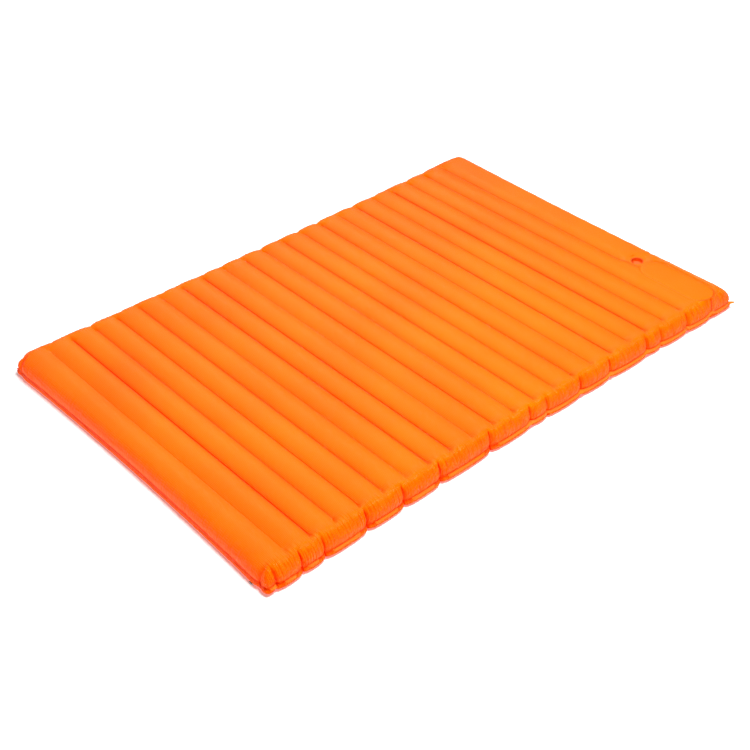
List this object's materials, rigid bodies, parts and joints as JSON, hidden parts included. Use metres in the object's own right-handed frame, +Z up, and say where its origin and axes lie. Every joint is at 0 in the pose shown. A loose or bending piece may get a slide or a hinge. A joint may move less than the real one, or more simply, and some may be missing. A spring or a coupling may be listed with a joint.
{
  "type": "inflatable sleeping pad",
  "caption": "Inflatable double sleeping pad with tubes across its width, a foam foot pump built into one corner and a flat valve under the opposite end.",
  "frame": {"origin": "on the ground, under the middle of the inflated pad", "axes": "+X along the length towards the pump, +Y across the width, +Z up"},
  "size_m": [1.95, 1.3, 0.08],
  "materials": {
    "orange_fabric": "satin coated weave",
    "inner_fabric": "matt coated weave",
    "foam": "open-cell foam",
    "valve_orange": "soft satin",
    "valve_grey": "soft satin",
    "flap_rubber": "silicone"
  },
  "bodies": {
    "pad": {"top_skin": "orange_fabric", "bottom_skin": "orange_fabric", "web_01": "inner_fabric", "web_02": "inner_fabric", "web_03": "inner_fabric", "web_04": "inner_fabric", "web_05": "inner_fabric", "web_06": "inner_fabric", "web_07": "inner_fabric", "web_08": "inner_fabric", "web_09": "inner_fabric", "web_10": "inner_fabric", "web_11": "inner_fabric", "web_12": "inner_fabric", "web_13": "inner_fabric", "web_14": "inner_fabric", "web_15": "inner_fabric", "web_16": "inner_fabric", "web_17": "inner_fabric", "web_18": "inner_fabric", "web_19": "inner_fabric", "web_20": "inner_fabric", "web_21": "inner_fabric", "pump_foam": "foam", "pump_tray": "inner_fabric", "pump_intake_seat": "valve_orange", "pump_outlet_seat": "valve_grey", "valve_base": "valve_grey"},
    "pump": {"pump_panel": "orange_fabric"},
    "intake_cap": {"pump_intake_cap": "valve_orange"},
    "intake_flap": {"pump_intake_flap": "flap_rubber"},
    "outlet_flap": {"pump_outlet_flap": "flap_rubber"},
    "collar": {"valve_collar": "valve_grey"},
    "cap": {"valve_cap": "valve_grey"},
    "flap": {"valve_flap": "flap_rubber"}
  },
  "joints": [
    {"name": "pump_press", "type": "slide", "parent": "pad", "child": "pump", "axis": [0, 0, -1], "range_m": [0, 0.035], "stiffness_N_per_m": 2500, "deforming": ["pump_foam"]},
    {"name": "intake_cap_hinge", "type": "hinge", "parent": "pad", "child": "intake_cap", "pos_m": [0.866, -0.3055, 0.0659], "axis": [-1, 0, 0], "range_deg": [0, 100]},
    {"name": "intake_flap_hinge", "type": "hinge", "parent": "pad", "child": "intake_flap", "pos_m": [0.866, -0.3065, 0.0586], "axis": [1, 0, 0], "range_deg": [0, 45], "stiffness_Nm_per_rad": 0.0005, "springref_deg": -17.19},
    {"name": "outlet_flap_hinge", "type": "hinge", "parent": "pad", "child": "outlet_flap", "pos_m": [0.8105, -0.42, 0.055], "axis": [0, 1, 0], "range_deg": [0, 45], "stiffness_Nm_per_rad": 0.0005, "springref_deg": -5.73},
    {"name": "collar_hinge", "type": "hinge", "parent": "pad", "child": "collar", "pos_m": [-0.935, -0.5515, 0.0067], "axis": [1, 0, 0], "range_deg": [0, 80]},
    {"name": "cap_hinge", "type": "hinge", "parent": "collar", "child": "cap", "pos_m": [-0.935, -0.583, 0.0046], "axis": [-1, 0, 0], "range_deg": [0, 110]},
    {"name": "flap_hinge", "type": "hinge", "parent": "collar", "child": "flap", "pos_m": [-0.935, -0.5607, 0.0144], "axis": [-1, 0, 0], "range_deg": [0, 40], "stiffness_Nm_per_rad": 0.0005, "springref_deg": -5.73}
  ]
}
